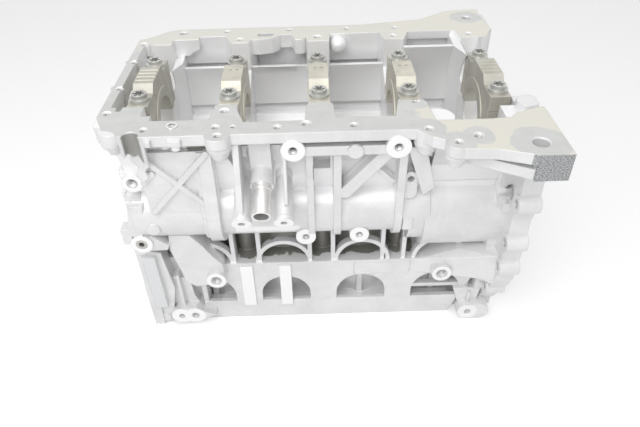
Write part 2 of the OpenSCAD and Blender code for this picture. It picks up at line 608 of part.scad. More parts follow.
module feet() {
    // Left foot with two holes and a pointed tail
    along_y(-frame_y - 11, -frame_y + 20) bar_2d([cap_x(1) + 6, 16.5], [cap_x(1) + 23, 17], 12.5);
    along_y(-frame_y - 11, -frame_y + 20) polygon([[cap_x(1) + 20, 5], [cap_x(1) + 20, 29], [cap_x(1) + 49, 17]]);
    rod_y(-frame_y - 7, -frame_y + 20, cap_x(1) - 16, 10, 7);
    translate([cap_x(1) + 9, -frame_y - 6, 20]) cube([3, 24, 62]);
    // Wall that curves from the left foot up to the frame
    along_y(-frame_y + 1, -frame_y + 20) polygon([
        [left_x, 0], [cap_x(1) + 42, 0], [cap_x(1) + 42, 14], [cap_x(1) + 30, 24], [cap_x(1) + 24, 40],
        [cap_x(1) + 22, 70], [left_x, 80]
    ]);
    // Right foot with one hole
    along_y(-frame_y - 14, -frame_y + 20) bar_2d([cap_x(5) - 5, 12.5], [cap_x(5) + 10, 13], 12);
    translate([cap_x(5) - 6, -frame_y - 9, 20]) cube([3, 24, 22]);
    along_y(-frame_y - 4, -frame_y + 20) polygon([
        [cap_x(5) - 24, 45], [cap_x(5) - 13, 12], [cap_x(5) + 6, 12], [cap_x(5) + 10, 45]
    ]);
}
module gearbox_flare() {
    // Wall that sweeps from the shelf out to the gearbox flange
    hull() {
        translate([cap_x(4) + 16, -frame_y, shelf_h - 20]) cube([2, 20, 19]);
        translate([cap_x(5) - 27, -frame_y - 6, shelf_h - 14]) cube([2, 26, 34]);
        translate([right_x - 20, -frame_y - 31, shelf_h - 8]) cube([2, 50, 38]);
    }
    // Two pointed ribs
    for (z = [shelf_h - 14, shelf_h + 10]) translate([0, 0, z]) linear_extrude(6)
        polygon([[cap_x(5) - 16, -frame_y - 14], [right_x - 18, -frame_y - 32], [right_x - 18, -frame_y]]);
}
module strips() {
    for (x = [[cap_x(2) - 7, 15], [cap_x(2) + 39, 14]])
        translate([x[0], -frame_y - 2.5, sill_h - 6]) cube([x[1], 6, 67]);
    along_y(-frame_y - 0.8, -frame_y + 1) difference() {
        round_box_2d(0.39 * bore_pitch, shelf_h - 22, 1.13 * bore_pitch, shelf_h - 1.5, 2);
        round_box_2d(0.39 * bore_pitch + 1, shelf_h - 21, 1.13 * bore_pitch - 1, shelf_h - 2.5, 1.5);
    }
}
module rail_tabs() {
    for (k = [-1.76, -1.46]) translate([k * bore_pitch - 6, -rail_front - 5, rail_h - 9]) cube([12, 10, 6]);
}

// Broken lug at the front left corner

module broken_lug() {
    intersection() {
        translate([lug_x, lug_y, rail_h - 34]) cylinder(r = 12, h = 33.5);
        along_y(lug_y - 13, lug_y + 13) translate([lug_x, rail_h]) polygon([
            [-13, 0], [-13, -20], [-10, -24], [-7, -21], [-3, -27], [1, -25], [4, -33], [8, -28], [13, -30], [13, 0]
        ]);
    }
    along_y(lug_y + 9, lug_y + 32) polygon([
        [lug_x - 6, 268], [lug_x + 9, 268], [lug_x + 6, 258], [lug_x + 9, 251], [lug_x + 3, 245],
        [lug_x + 5, 238], [lug_x - 1, 231], [lug_x - 6, 242], [lug_x - 2, 250], [lug_x - 7, 258]
    ]);
}
module lug_break() {
    translate([lug_x, lug_y, rail_h - 35]) cylinder(r = 8, h = 36);
    // Torn front, left and right edge at different depths
    translate([lug_x, lug_y, rail_h - 36]) linear_extrude(37)
        polygon([[-14, -20], [14, -20], [14, -3], [9, -1], [7, -2.5], [0, 2], [-7, 2.5], [-10, 0.5], [-14, 3]]);
}

module block_outside() {
    lower_frame();
    shelf_arches();
    head_bolt_columns();
    barrels();
    crankcase();
    pan_rail();
    gearbox_end();
    corner_arm();
    left_end();
    front_bosses();
    vertical_ribs();
    band();
    left_panel();
    diagonal_ribs();
    tube_station();
    feet();
    gearbox_flare();
    strips();
    rail_tabs();
    broken_lug();
    // Bosses of the core plugs and of the coolant drain
    for (i = [2:4]) rod_y(barrel_r - 20, frame_y + 2, cap_x(i), core_plug_z, core_plug_r + 6);
    rod_y(barrel_r - 20, frame_y + 2, cap_x(1) + 22, core_plug_z - 14, 13);
}
module casting_pockets() {
    // Square pockets between the ribs, behind the bar
    translate([cap_x(3) - 8.5, -rail_front + 4, crank_h - 5]) cube([17.5, 40, 17]);
    for (p = [[-21, 11], [20, 45]]) translate([p[0], -rail_front + 4, crank_h + 38]) cube([p[1], 18, 6.5]);
    // Deep pocket beside the wide band
    along_y(-rail_front + 4, -84) polygon([
        [cap_x(2) - 8, crank_h + 32], [cap_x(2) + 8, crank_h + 32], [cap_x(2) + 8, crank_h + 12],
        [cap_x(2) + 5, crank_h - 4], [cap_x(2) - 2, crank_h + 14]
    ]);
    // Notch between the end wall's lug and the housing
    along_y(-mouth_front - 3, -frame_y + 10) polygon([
        [left_x + 5, crank_h - 31], [left_x + 5, crank_h - 38], [left_x + 24, crank_h - 38], [left_x + 24, crank_h - 31]
    ]);
    // Corner of the end wall beside the broken lug
    translate([left_x - 1, -130, crank_h - 1]) cube([15.5, 80, 38.5]);
    translate([left_x - 1, -130, crank_h - 37]) cube([10, 66, 36.5]);
    // Long recess above the drum, with a round hole
    along_y(-drum_y - drum_r - 4, -drum_y - drum_r + 8) polygon([
        [right_x - 50, crank_h - 26], [right_x + 1, crank_h - 26], [right_x + 1, crank_h - 38], [right_x - 50, crank_h - 38]
    ]);
    rod_y(-drum_y - drum_r - 2, -drum_y - drum_r + 24, right_x - 21, crank_h - 27, 4.5);
    rod_y(-drum_y - drum_r, -80, 0.98 * bore_pitch, crank_h - 12, 3.5);
}
module drillings() {
    for (h = pan_holes) translate([cap_x(h[0]) + h[1], h[2], rail_h]) {
        translate([0, 0, -pan_hole_l]) cylinder(r = h[3], h = pan_hole_l + 1);
        translate([0, 0, -1]) cylinder(r1 = h[3] - 0.1, r2 = h[3] + 1.3, h = 1.2);
    }
    // Oil return slot in the back rail
    translate([cap_x(2) + 29.5, rail_back - 22.5, rail_h - 40]) linear_extrude(42) bar_2d([-5, 0], [5, 0], 5);
    // Cap bolts and their locating sleeves
    for (i = [1:5], s = [-1, 1]) translate([cap_x(i), s * bolt_y, crank_h]) {
        translate([0, 0, -bolt_reach]) cylinder(d = bolt_d, h = bolt_reach + 1);
        translate([0, 0, -sleeve_l / 2]) cylinder(d = sleeve_d, h = sleeve_l);
    }
    // Bolt holes of the front bosses
    for (b = [
        [-0.29, crank_h + 36, 4.2, rail_front], [0.785, crank_h + 37, 4.2, rail_front],
        [-0.2, housing_h - 24, 3.8, housing_y + 28], [0.435, housing_h - 23, 3.8, housing_y + 28],
        [-1.36, shelf_h - 9, 6.2, frame_y + 16], [1.5, shelf_h - 7, 6.5, frame_y + 17]
    ]) rod_y(-b[3] - 5, -b[3] + 18, b[0] * bore_pitch, b[1], b[2]);
    rod_y(-mouth_front - 5, -mouth_front + 40, left_x + 20.5, crank_h - 14.5, 5.6);
    rod_y(-frame_y - 25, -frame_y - 19 + plug_l, left_x + 15.5, housing_h - 28.5, plug_r);
    rod_y(-frame_y - 15, -frame_y + 5, cap_x(1) + 6, 16.5, 3.6);
    rod_y(-frame_y - 15, -frame_y + 5, cap_x(1) + 23, 17, 4.6);
    rod_y(-frame_y - 25, -frame_y, cap_x(5) - 4, 12.5, 4);
    tube_frame() translate([0, 0, -tube_seat_l]) cylinder(r = tube_r, h = tube_seat_l + 14);
    for (x = [-20.5, 20.5]) translate([x, 0, 0]) tube_frame()
        translate([0, -14.5, tube_l - 18]) cylinder(r = 3.2, h = 20);
    // Gearbox bolts
    for (p = gearbox_bolts) rod_x(right_x - 26, right_x + 1, p[0], p[1], 5.1);
    // Head bolts, coolant passages and oil returns in the head face
    for (i = [1:5], s = [-1, 1]) translate([cap_x(i), s * head_bolt_y, -1]) cylinder(r = 5.5, h = head_bolt_l + 1);
    for (i = [1:4], a = [55, 125, 235, 305]) translate([cyl_x(i), 0, -1]) rotate(a)
        translate([liner_r + 7, 0, 0]) cylinder(r = 3.2, h = 26);
    for (x = [cap_x(2), cap_x(3), cap_x(4)]) translate([x, frame_y - 12, -1]) cylinder(r = 6, h = 31);
    // Seats of the core plugs
    for (i = [2:4]) rod_y(frame_y + 2 - core_plug_l, frame_y + 3, cap_x(i), core_plug_z, core_plug_r);
    rod_y(frame_y + 2 - plug_l, frame_y + 3, cap_x(1) + 22, core_plug_z - 14, plug_r);
    translate([cap_x(1) + 44.7, -104.8, rail_h - pan_hole_l]) cylinder(r = 5.6, h = pan_hole_l + 1);
}

module block() color(cast) difference() {
    union() {
        difference() {
            block_outside();
            for (i = [1:4])
                bay(i, crank_h + [0, 24, 24, 24, 48.5][i], crank_h + [0, 20, 38, 20, 44.5][i],
                    mouth_front + [0, -2, 4, 0, 10][i]);
            mouth();
        }
        bay_bosses();
        round_boss();
        back_columns();
        front_columns();
        front_lug();
    }
    main_web_relief();
    corner_relief();
    casting_pockets();
    chain_chest();
    rod_x(left_x - 1, right_x, 0, crank_h, main_bore_d / 2);
    for (i = [1:4]) translate([cyl_x(i), 0, -1]) {
        cylinder(r = liner_r, h = liner_l + 1);
        cylinder(r = bore_r, h = liner_l + skirt_relief + 1);
    }
    drillings();
    lug_break();
}

module main_cap(i) color("tan") translate([cap_x(i), 0, 0]) difference() {
    union() {
        cap_body();
        // Ridges across the crown of the end caps
        if (i == 1 || i == 5) for (y = [-13, -5, 3, 11]) translate([0.5 - cap_w / 2, y, crank_h + crown_rise - 1])
            cube([cap_w - 1, 3.5, 1.8]);
    }
    // Punched marks on the crown of the inner caps
    if (i > 1 && i < 5) for (x = [-3, 4]) translate([x, 7.5, crank_h + crown_rise - 1.5]) cylinder(r = 1.6, h = 3);
}
module cap_body() {
    difference() {
        union() {
            along_x(-cap_w / 2, cap_w / 2) polygon([
                [-ear_y, crank_h], [-ear_y, crank_h + ear_rise], [-crown_half - 8, crank_h + ear_rise],
                [-crown_half, crank_h + crown_rise], [crown_half, crank_h + crown_rise],
                [crown_half + 8, crank_h + ear_rise], [ear_y, crank_h + ear_rise], [ear_y, crank_h]
            ]);
            // Raised thrust faces
            along_x(-cap_w / 2 - thrust_rise, cap_w / 2 + thrust_rise) intersection() {
                translate([0, crank_h]) circle(thrust_r);
                translate([-ear_y, crank_h]) square([2 * ear_y, thrust_r]);
            }
        }
        rod_x(-cap_w, cap_w, 0, crank_h, main_bore_d / 2);
        for (s = [-1, 1]) translate([0, s * bolt_y, crank_h - 1]) {
            cylinder(d = bolt_d + 2 * bolt_clearance, h = 80);
            cylinder(d = sleeve_d, h = sleeve_l / 2 + 1);
        }
        // Step along the foot of the side face
        for (s = [-1, 1]) translate([-cap_w, s * (ear_y + 4) - 5, crank_h + ear_rise - 18]) cube([2 * cap_w, 10, 1.2]);
    }
}
module main_cap_bolts() color("dimgray") for (i = [1:5], s = [-1, 1])
    translate([cap_x(i), s * bolt_y, crank_h + ear_rise]) {
        translate([0, 0, -ear_rise - bolt_reach]) cylinder(d = bolt_d, h = ear_rise + bolt_reach + 1);
        cylinder(d = bolt_flange_d, h = bolt_flange_t);
        difference() {
            translate([0, 0, bolt_flange_t - 0.5]) cylinder(d = bolt_head_d, h = bolt_head_h + 0.5);
            translate([0, 0, bolt_flange_t + bolt_head_h - 3.2]) for (a = [0:60:120]) rotate(a)
                linear_extrude(5) bar_2d([-4.6, 0], [4.6, 0], 1.6);
        }
    }
module cap_sleeves() color("silver") for (i = [1:5], s = [-1, 1])
    translate([cap_x(i), s * bolt_y, crank_h - sleeve_l / 2]) difference() {
        cylinder(d = sleeve_d, h = sleeve_l);
        translate([0, 0, -1]) cylinder(d = bolt_d + 2 * bolt_clearance, h = sleeve_l + 2);
    }
module liner(i) color("dimgray") translate([cyl_x(i), 0, 0]) difference() {
    cylinder(r = liner_r, h = liner_l);
    translate([0, 0, -1]) cylinder(r = bore_r, h = liner_l + 2);
}
module drain_tube() color("silver") tube_frame() difference() {
    union() {
        translate([0, 0, -tube_seat_l]) cylinder(r = tube_r, h = tube_seat_l + tube_l);
        translate([0, 0, 14]) cylinder(r = tube_r + 0.9, h = 3);
    }
    translate([0, 0, -tube_seat_l - 1]) cylinder(r = tube_r - tube_wall, h = tube_seat_l + tube_l + 2);
}

module gallery_plug() color("dimgray") difference() {
    rod_y(-frame_y - 19, -frame_y - 19 + plug_l, left_x + 15.5, housing_h - 28.5, plug_r);
    translate([left_x + 15.5, -frame_y - 12, housing_h - 28.5]) rotate([90, 0, 0]) cylinder(r = 3.4, h = 8, $fn = 6);
}
module coolant_plug() color("dimgray") {
    rod_y(frame_y + 2 - plug_l, frame_y + 3, cap_x(1) + 22, core_plug_z - 14, plug_r);
    translate([cap_x(1) + 22, frame_y + 10, core_plug_z - 14]) rotate([90, 0, 0]) difference() {
        cylinder(r = 9, h = 7, $fn = 6);
        translate([0, 0, -1]) cylinder(r = 4, h = 4);
    }
}
module pan_sleeve() color("silver") translate([cap_x(1) + 44.7, -104.8, rail_h - pan_hole_l]) difference() {
    cylinder(r = 5.6, h = pan_hole_l + 1.2);
    translate([0, 0, -1]) cylinder(r = 3.8, h = pan_hole_l + 4);
}
module core_plug(i) color("silver") difference() {
    rod_y(frame_y + 2 - core_plug_l, frame_y + 1.5, cap_x(i), core_plug_z, core_plug_r);
    rod_y(frame_y + 4 - core_plug_l, frame_y + 3, cap_x(i), core_plug_z, core_plug_r - 2);
}

block();
main_cap(1);  // main_cap_1
main_cap(2);  // main_cap_2
main_cap(3);  // main_cap_3
main_cap(4);  // main_cap_4
main_cap(5);  // main_cap_5
main_cap_bolts();
cap_sleeves();
liner(1);  // liner_1
liner(2);  // liner_2
liner(3);  // liner_3
liner(4);  // liner_4
drain_tube();
gallery_plug();
coolant_plug();
pan_sleeve();
core_plug(2);  // core_plug_1
core_plug(3);  // core_plug_2
core_plug(4);  // core_plug_3
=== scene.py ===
# Looks of the engine block: cast skin, machined faces, steel and iron pieces, pale studio
import bpy
import bmesh
import math
from mathutils import Matrix, Vector


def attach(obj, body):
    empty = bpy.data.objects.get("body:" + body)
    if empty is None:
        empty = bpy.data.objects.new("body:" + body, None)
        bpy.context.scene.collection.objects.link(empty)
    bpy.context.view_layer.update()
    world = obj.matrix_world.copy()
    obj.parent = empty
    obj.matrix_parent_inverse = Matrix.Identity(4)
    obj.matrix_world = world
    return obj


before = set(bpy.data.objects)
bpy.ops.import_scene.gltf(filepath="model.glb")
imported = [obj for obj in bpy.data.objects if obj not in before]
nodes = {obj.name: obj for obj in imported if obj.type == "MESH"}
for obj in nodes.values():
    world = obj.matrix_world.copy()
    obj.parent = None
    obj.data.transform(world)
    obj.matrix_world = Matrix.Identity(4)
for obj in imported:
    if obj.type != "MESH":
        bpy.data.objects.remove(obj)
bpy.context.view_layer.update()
scene = bpy.context.scene
mm = 0.001
print("frame loaded,", len(nodes), "nodes")


# --- small helpers for shader trees ---
def addNode(tree, kind, label=None, **settings):
    made = tree.nodes.new(kind)
    if label:
        made.label = label
    for key, value in settings.items():
        setattr(made, key, value)
    return made


def feed(tree, socket, value):
    # a socket takes a link, and anything else becomes its plain value
    if isinstance(value, bpy.types.NodeSocket):
        tree.links.new(value, socket)
    else:
        socket.default_value = value


def calc(tree, operation, a, b=None, c=None):
    made = addNode(tree, "ShaderNodeMath", operation=operation)
    for socket, value in zip(made.inputs, (a, b, c)):
        if value is not None:
            feed(tree, socket, value)
    return made.outputs[0]


def chain(tree, operation, *values):
    result = values[0]
    for value in values[1:]:
        result = calc(tree, operation, result, value)
    return result


def times(tree, *values):
    return chain(tree, "MULTIPLY", *values)


def plus(tree, *values):
    return chain(tree, "ADD", *values)


def highest(tree, *values):
    return chain(tree, "MAXIMUM", *values)


def ramp(tree, value, low, high, outLow=0.0, outHigh=1.0):
    made = addNode(tree, "ShaderNodeMapRange", clamp=True)
    feed(tree, made.inputs["Value"], value)
    made.inputs["From Min"].default_value = low
    made.inputs["From Max"].default_value = high
    made.inputs["To Min"].default_value = outLow
    made.inputs["To Max"].default_value = outHigh
    return made.outputs["Result"]


def border(tree, value, absent, full):
    # 0 where the value is at absent and 1 where it is at full, both in mm
    return ramp(tree, value, absent * mm, full * mm)


def near(tree, value, middle, reach):
    # 1 within a reach of a place, both in mm
    return calc(tree, "COMPARE", value, middle * mm, reach * mm)


def distanceTo(tree, place, spot):
    # distance in metres from a point whose coordinates are in mm; a None coordinate counts nothing
    squares = []
    for value, middle in zip(place, spot):
        if middle is not None:
            gap = calc(tree, "SUBTRACT", value, middle * mm)
            squares.append(calc(tree, "MULTIPLY", gap, gap))
    return calc(tree, "SQRT", plus(tree, *squares))


def blendColor(tree, factor, a, b):
    made = addNode(tree, "ShaderNodeMix", data_type="RGBA", blend_type="MIX")
    feed(tree, made.inputs["Factor"], factor)
    for socket, color in ((made.inputs[6], a), (made.inputs[7], b)):
        feed(tree, socket, color if isinstance(color, bpy.types.NodeSocket) else (*color, 1))
    return made.outputs[2]


def noise(tree, scale, detail, rough, vector=None, warp=0.0):
    made = addNode(tree, "ShaderNodeTexNoise")
    made.inputs["Scale"].default_value = scale
    made.inputs["Detail"].default_value = detail
    made.inputs["Roughness"].default_value = rough
    made.inputs["Distortion"].default_value = warp
    if vector is not None:
        tree.links.new(vector, made.inputs["Vector"])
    return made.outputs["Fac"]


def objectPlace(tree):
    return addNode(tree, "ShaderNodeTexCoord").outputs["Object"]


def splitParts(tree, vector):
    made = addNode(tree, "ShaderNodeSeparateXYZ")
    tree.links.new(vector, made.inputs[0])
    return tuple(made.outputs)


def newGroup(name, inputs, outputs):
    group = bpy.data.node_groups.new(name, "ShaderNodeTree")
    for title, value in inputs:
        socket = group.interface.new_socket(title, in_out="INPUT", socket_type="NodeSocketFloat")
        socket.default_value = value
    for title, kind in outputs:
        group.interface.new_socket(title, in_out="OUTPUT", socket_type=kind)
    return group, group.nodes.new("NodeGroupInput"), group.nodes.new("NodeGroupOutput")


def putOut(group, leave, **results):
    for title, value in results.items():
        group.links.new(value, leave.inputs[title])


def useGroup(tree, group, **values):
    made = addNode(tree, "ShaderNodeGroup", label=group.name)
    made.node_tree = group
    for key, value in values.items():
        feed(tree, made.inputs[key], value)
    return made.outputs


# --- shared effects ---
# cosine between the rounded and the flat normal, where an edge starts to show and where it is full
edgeCosine = (0.995, 0.8)


def makeRoundedEdges(cosine):
    # soft edge normal, and a mask that is bright along outer and inner edges
    group, enter, leave = newGroup("roundedEdges", [("Radius", 0.001)],
        [("Normal", "NodeSocketVector"), ("Edge", "NodeSocketFloat")])
    bevel = addNode(group, "ShaderNodeBevel", samples=6)
    group.links.new(enter.outputs["Radius"], bevel.inputs["Radius"])
    dot = addNode(group, "ShaderNodeVectorMath", operation="DOT_PRODUCT")
    group.links.new(bevel.outputs[0], dot.inputs[0])
    group.links.new(addNode(group, "ShaderNodeNewGeometry").outputs["Normal"], dot.inputs[1])
    putOut(group, leave, Normal=bevel.outputs[0], Edge=ramp(group, dot.outputs["Value"], *cosine))
    return group


# scale, detail and roughness of each noise, and its share where several are added
skinGrain = {
    "fine": (900.0, 3, 0.6), "fineShare": 0.5,
    "middle": (230.0, 2, 0.5), "middleShare": 0.7,
    "pitScale": 420.0, "pitReach": 0.22, "pitShare": 0.15,
    "cloud": (26.0, 4, 0.6), "cloudWarp": 0.6, "cloudShare": 0.65,
    "broad": (8.0, 2, 0.5), "broadShare": 0.35, "cloudRange": (0.32, 0.68),
    "fleck": (620.0, 2, 0.7), "fleckRange": (0.52, 0.72),
}


def makeCastSkin(grain):
    # sand-like grain of a die casting, cloudy flow marks and small pits
    group, enter, leave = newGroup("castSkin", [("Scale", 1.0)],
        [("Height", "NodeSocketFloat"), ("Cloud", "NodeSocketFloat"), ("Fleck", "NodeSocketFloat")])
    sized = addNode(group, "ShaderNodeVectorMath", operation="SCALE")
    group.links.new(objectPlace(group), sized.inputs[0])
    group.links.new(enter.outputs["Scale"], sized.inputs["Scale"])
    spot = sized.outputs[0]
    pits = addNode(group, "ShaderNodeTexVoronoi")
    pits.inputs["Scale"].default_value = grain["pitScale"]
    group.links.new(spot, pits.inputs["Vector"])
    height = plus(group,
        times(group, noise(group, *grain["fine"], spot), grain["fineShare"]),
        times(group, noise(group, *grain["middle"], spot), grain["middleShare"]),
        times(group, ramp(group, pits.outputs["Distance"], 0.0, grain["pitReach"]),
            grain["pitShare"]))
    cloud = plus(group,
        times(group, noise(group, *grain["cloud"], spot, grain["cloudWarp"]), grain["cloudShare"]),
        times(group, noise(group, *grain["broad"], spot), grain["broadShare"]))
    fleck = noise(group, *grain["fleck"], spot)
    putOut(group, leave, Height=height, Cloud=ramp(group, cloud, *grain["cloudRange"]),
        Fleck=ramp(group, fleck, *grain["fleckRange"]))
    return group


cutter = {"middle": (0.31, 0.17, 0.0), "ringShare": 0.03, "ringDetail": 2.0,
    "streak": (38.0, 3, 0.6), "streakWarp": 1.2, "range": (0.3, 0.75)}


def makeMillMarks(look):
    # faint arcs and streaks that a face cutter leaves, as a light and dark tone
    group, enter, leave = newGroup("millMarks", [("Pitch", 160.0), ("Warp", 0.4)],
        [("Tone", "NodeSocketFloat")])
    place = objectPlace(group)
    shifted = addNode(group, "ShaderNodeMapping")
    shifted.inputs["Location"].default_value = look["middle"]
    group.links.new(place, shifted.inputs["Vector"])
    wave = addNode(group, "ShaderNodeTexWave", wave_type="RINGS", rings_direction="Z")
    group.links.new(shifted.outputs[0], wave.inputs["Vector"])
    group.links.new(enter.outputs["Pitch"], wave.inputs["Scale"])
    group.links.new(enter.outputs["Warp"], wave.inputs["Distortion"])
    wave.inputs["Detail"].default_value = look["ringDetail"]
    streak = noise(group, *look["streak"], place, look["streakWarp"])
    rings = times(group, wave.outputs["Fac"], look["ringShare"])
    tone = plus(group, rings, times(group, streak, 1 - look["ringShare"]))
    putOut(group, leave, Tone=ramp(group, tone, *look["range"]))
    return group


# faces that the cutters have touched; lengths in mm
machining = {
    "railTop": 290.0, "gearboxFace": 213.0, "faceSoft": 0.4, "headFace": (0.3, 0.1),
    "crankHeight": 235.0, "lineBore": (38.8, 38.6),
    # how straight a face looks along an axis, where a mark starts and where it is full
    "facing": (0.9, 0.99), "postFacing": (0.97, 0.99),
    # fall of the drain tube in degrees, and the middle and half width along x of its two posts
    "fall": 23, "posts": (-58.5, 34),
    # x, z, radius and face y of each faced boss on the visible side
    "bosses": [
        (-26.4, 271, 11.6, -123), (71.4, 272, 12.2, -123), (-18.2, 149, 11, -105),
        (39.6, 150, 10.7, -105), (-123.8, 84, 11.6, -104), (136.5, 86, 11.5, -105),
        (-196.5, 144.5, 12.2, -105), (-191.5, 220.5, 10.8, -97), (-176, 16.5, 12.7, -97),
        (-159, 17, 12.7, -97), (178, 12.5, 12.2, -100),
    ],
    "bossDepth": 0.8, "bossSoft": 0.3,
    # x from, x to, z from, z to and face y of each machined pad
    "pads": [(-98.2, -82.8, 22, 91, -88.5), (-52.2, -37.8, 22, 91, -88.5),
        (-205.2, -189.8, 32, 117, -97)],
    "padDepth": 0.6,
}


def makeMachinedMask(cuts):
    group, _, leave = newGroup("machinedMask", [],
        [("Mask", "NodeSocketFloat"), ("Bore", "NodeSocketFloat"), ("Pad", "NodeSocketFloat")])
    place = splitParts(group, objectPlace(group))
    x, y, z = place
    nx, ny, nz = splitParts(group, addNode(group, "ShaderNodeNewGeometry").outputs["Normal"])
    forward = ramp(group, calc(group, "MULTIPLY", ny, -1.0), *cuts["facing"])
    rail = times(group, ramp(group, nz, *cuts["facing"]),
        border(group, z, cuts["railTop"] - cuts["faceSoft"], cuts["railTop"]))
    end = times(group, ramp(group, nx, *cuts["facing"]),
        border(group, x, cuts["gearboxFace"] - cuts["faceSoft"], cuts["gearboxFace"]))
    faces = [rail, end, border(group, z, *cuts["headFace"])]
    for middleX, middleZ, radius, face in cuts["bosses"]:
        away = distanceTo(group, place, (middleX, None, middleZ))
        faces.append(times(group, near(group, y, face, cuts["bossDepth"]),
            border(group, away, radius, radius - cuts["bossSoft"]), forward))
    # ends of the two posts beside the tube, which slant as the tube does
    slant = math.radians(cuts["fall"])
    slanted = plus(group, times(group, ny, -math.cos(slant)), times(group, nz, -math.sin(slant)))
    faces.append(times(group, ramp(group, slanted, *cuts["postFacing"]),
        near(group, x, *cuts["posts"])))
    pads = []
    for x0, x1, z0, z1, face in cuts["pads"]:
        pads.append(times(group, near(group, x, (x0 + x1) / 2, (x1 - x0) / 2),
            near(group, z, (z0 + z1) / 2, (z1 - z0) / 2),
            near(group, y, face, cuts["padDepth"]), forward))
    fromLine = distanceTo(group, place, (None, 0, cuts["crankHeight"]))
    putOut(group, leave, Mask=highest(group, *faces),
        Bore=border(group, fromLine, *cuts["lineBore"]), Pad=highest(group, *pads))
    return group


# marks of use and handling, and painted light and shade; lengths in mm. Each border has an axis,
# where the mark is absent, where it is full, and how strongly it wanders
marks = {
    # scale, detail and roughness of the noise that makes borders wander
    "wander": (42.0, 3, 0.55),
    # dried film at the gearbox end and, fainter, on the rail at the back
    "filmRight": [("x", 84, 92, 3.0)], "filmBack": [("y", 60, 90, 1.0)], "filmBackShare": 0.75,
    # x, y and radius of the grey pools round the rail's holes, where no film is left
    "pools": [(119.5, -143.6, 17), (139.2, -134, 15), (190.1, -148.4, 27), (97.6, -120.1, 16),
        (93, -70, 14), (190.6, 146, 20)],
    "poolSoft": 0.8,
    # corner that a saw has left rough
    "sawn": [("x", 176, 176.4, 0), ("y", -166.5, -166.9, 0), ("z", 262, 262.4, 0)],
    # middle and radius of the torn lug
    "torn": (-173, -121, 268), "tornRadius": (25, 21),
    # painted shade in the hollows behind the lower ribs, and on the flat wall under the rail,
    # between these ends
    "hollowShade": [("y", -74, -72, 2.2), ("z", 90, 92, 0), ("z", 171, 165, 0)],
    "wall": [("z", 280, 279, 0), ("z", 252, 256, 2.2)], "wallFace": (-102, 1.2),
    "ends": [("x", -129, -127, 1.0), ("x", 109, 107, 1.0), ("y", -30, -35, 0)],
    # painted shade in the torn lug's open bore
    "openBore": [("z", 252, 253, 0), ("z", 289, 288, 0)], "openBoreAxis": (-173, -120.5, None),
    "openBoreRadius": (8.9, 8.4), "openBoreShare": 0.85,
    # painted light: reach of the swept space round the crank axis, the mouth above it, and where
    # both end
    "sweptRadius": (95.5, 94.5),
    "mouth": [("y", -101.3, -101, 0), ("y", 108.3, 108, 0), ("z", 190, 200, 0)],
    "crankcase": [("x", 192, 188, 0)],
    # painted light on the faces behind the arches and on the shelf's edge
    "arches": [("y", -85.8, -85.4, 0), ("y", -29, -31, 0), ("z", 96.3, 95.7, 0)],
}


def makeHandlingMarksAndPaintedLight(signs, crankHeight):
    # dried film with grey pools, the sawn corner, the torn lug, painted shade in the hollows and
    # painted light on the insides
    group, enter, leave = newGroup("handlingMarksAndPaintedLight", [("Ragged", 0.014)],
        [(title, "NodeSocketFloat") for title in ("Film", "Sawn", "Torn", "Hollow", "Inside")])
    spot = objectPlace(group)
    place = splitParts(group, spot)
    drift = calc(group, "SUBTRACT", noise(group, *signs["wander"], spot), 0.5)
    wander = times(group, drift, enter.outputs["Ragged"])

    def region(borders):
        edges = []
        for axis, absent, full, ragged in borders:
            value = place["xyz".index(axis)]
            if ragged:
                value = plus(group, value, times(group, wander, ragged))
            edges.append(border(group, value, absent, full))
        return times(group, *edges)

    film = highest(group, region(signs["filmRight"]),
        times(group, region(signs["filmBack"]), signs["filmBackShare"]))
    for poolX, poolY, radius in signs["pools"]:
        away = plus(group, distanceTo(group, place, (poolX, poolY, None)), wander)
        film = times(group, film,
            border(group, away, radius - signs["poolSoft"], radius + signs["poolSoft"]))
    away = plus(group, distanceTo(group, place, signs["torn"]), wander)
    torn = border(group, away, *signs["tornRadius"])
    ends = region(signs["ends"])
    wall = times(group, near(group, place[1], *signs["wallFace"]), region(signs["wall"]))
    hollowShade = times(group, highest(group, region(signs["hollowShade"]), wall), ends)
    fromBore = distanceTo(group, place, signs["openBoreAxis"])
    opened = times(group, region(signs["openBore"]),
        border(group, fromBore, *signs["openBoreRadius"]), signs["openBoreShare"])
    swept = border(group, distanceTo(group, place, (None, 0, crankHeight)), *signs["sweptRadius"])
    crankcase = times(group, highest(group, swept, region(signs["mouth"])),
        region(signs["crankcase"]))
    arches = times(group, region(signs["arches"]), ends)
    putOut(group, leave, Film=film, Sawn=region(signs["sawn"]), Torn=torn,
        Hollow=highest(group, hollowShade, opened), Inside=highest(group, crankcase, arches))
    return group


roundedEdges = makeRoundedEdges(edgeCosine)
castSkin = makeCastSkin(skinGrain)
millMarks = makeMillMarks(cutter)
machinedMask = makeMachinedMask(machining)
handlingMarksAndPaintedLight = makeHandlingMarksAndPaintedLight(marks, machining["crankHeight"])
print("shader groups built")


# --- materials ---
def newMaterial(name):
    made = bpy.data.materials.new(name)
    made.use_nodes = True
    tree = made.node_tree
    tree.nodes.clear()
    out = addNode(tree, "ShaderNodeOutputMaterial")
    shader = addNode(tree, "ShaderNodeBsdfPrincipled")
    tree.links.new(shader.outputs[0], out.inputs["Surface"])
    return made, tree, shader


def bumped(tree, height, strength, distance, normal):
    made = addNode(tree, "ShaderNodeBump")
    made.inputs["Strength"].default_value = strength
    made.inputs["Distance"].default_value = distance
    tree.links.new(height, made.inputs["Height"])
    tree.links.new(normal, made.inputs["Normal"])
    return made.outputs["Normal"]


def openness(tree, reach):
    # how free the surface is of others within a reach in mm; low in inner corners
    made = addNode(tree, "ShaderNodeAmbientOcclusion", samples=8)
    made.inputs["Distance"].default_value = reach * mm
    return made.outputs["AO"]


